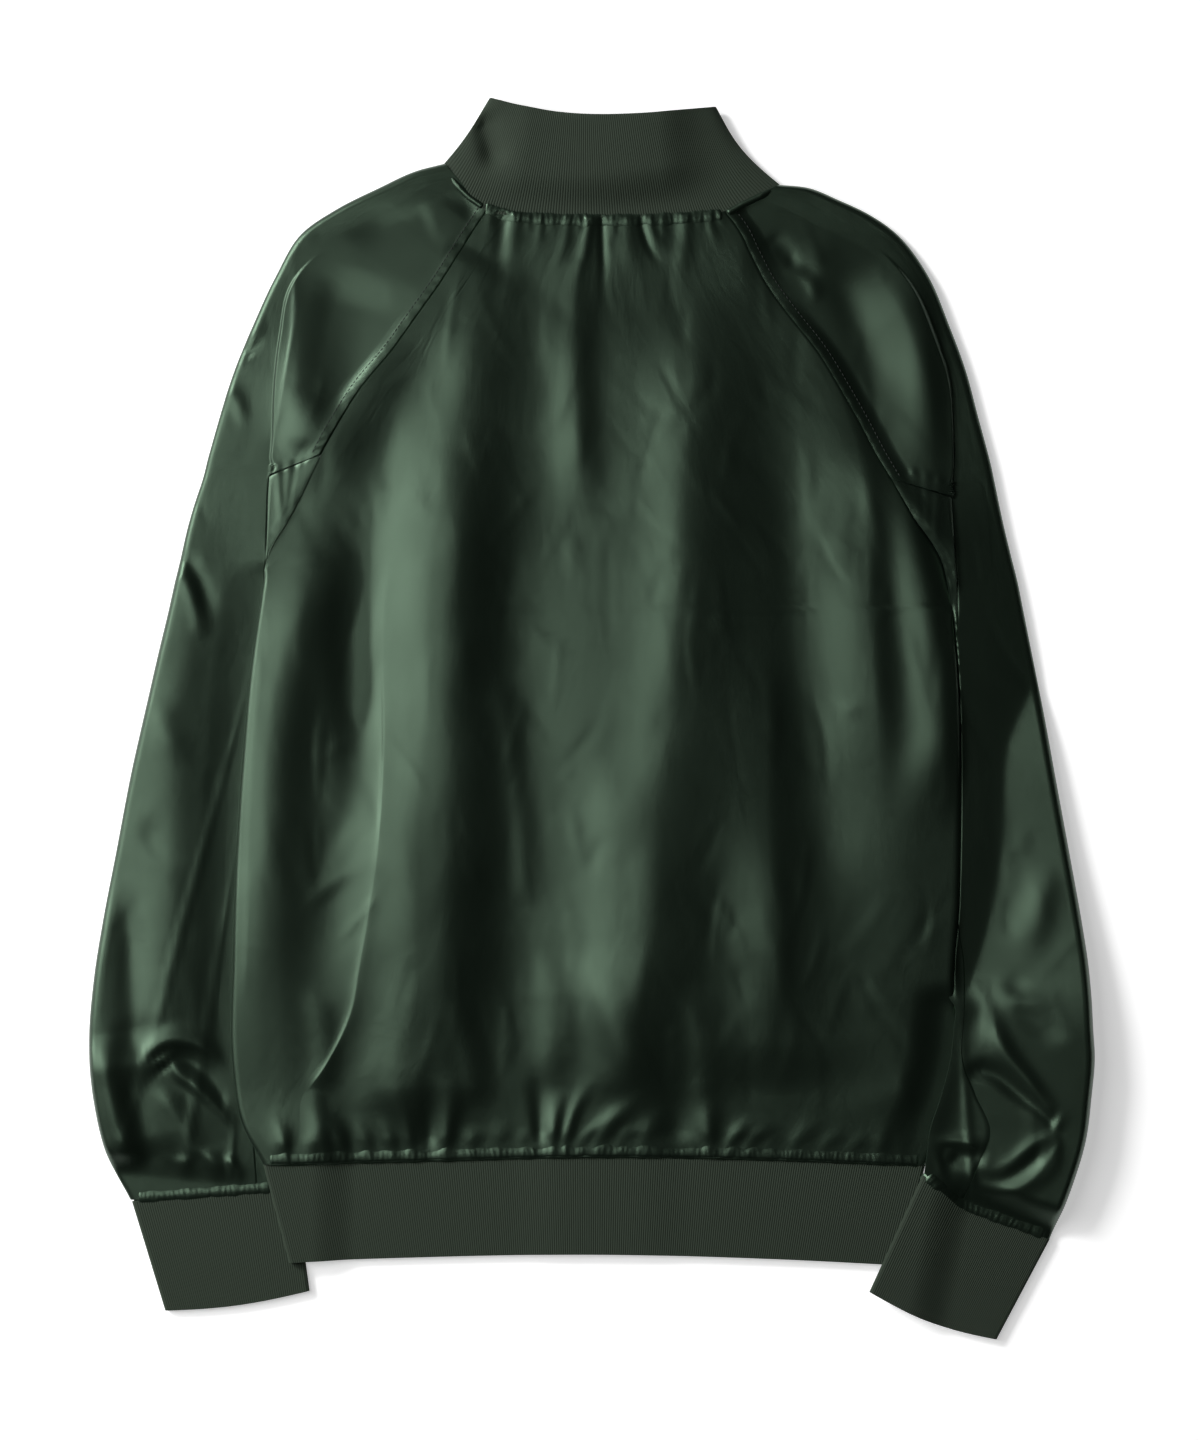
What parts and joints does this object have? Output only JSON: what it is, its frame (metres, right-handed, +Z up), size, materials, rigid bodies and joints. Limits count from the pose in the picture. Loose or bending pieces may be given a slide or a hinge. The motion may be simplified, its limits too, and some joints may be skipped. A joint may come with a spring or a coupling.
{
  "type": "track jacket",
  "caption": "Satin track jacket with raglan sleeves, a tall ribbed stand collar and ribbed cuffs and hem, laid flat on its zipped front with the back upwards and the arms down its sides.",
  "frame": {"origin": "on the surface it lies on, under the centre of its overall box", "axes": "+Z up, away from the surface; +Y along the body to the collar; +X to the right sleeve as it lies here, back upwards"},
  "size_m": [0.6606, 0.818, 0.0144],
  "materials": {
    "satin": "dark green nylon satin, smooth, with a broad soft sheen",
    "rib": "matt knitted rib, fine lengthwise wales",
    "zip_tape": "woven tape with moulded teeth in the same green",
    "zip_metal": "dull nickel"
  },
  "bodies": {
    "jacket": {"back": "satin", "front_left": "satin", "front_right": "satin", "sleeve_left_top": "satin", "sleeve_left_under": "satin", "sleeve_right_top": "satin", "sleeve_right_under": "satin", "cuff_left": "rib", "cuff_right": "rib", "hem_rib": "rib", "collar_rib": "rib", "zip_tape_left": "zip_tape", "zip_tape_right": "zip_tape", "zip_slider": "zip_metal"},
    "pull": {"zip_pull": "zip_metal"}
  },
  "joints": [
    {"name": "pull_hinge", "type": "hinge", "parent": "jacket", "child": "pull", "pos_m": [0.006, 0.3334, 0.0013], "axis": [1, 0, 0], "range_deg": [0, 150]}
  ]
}
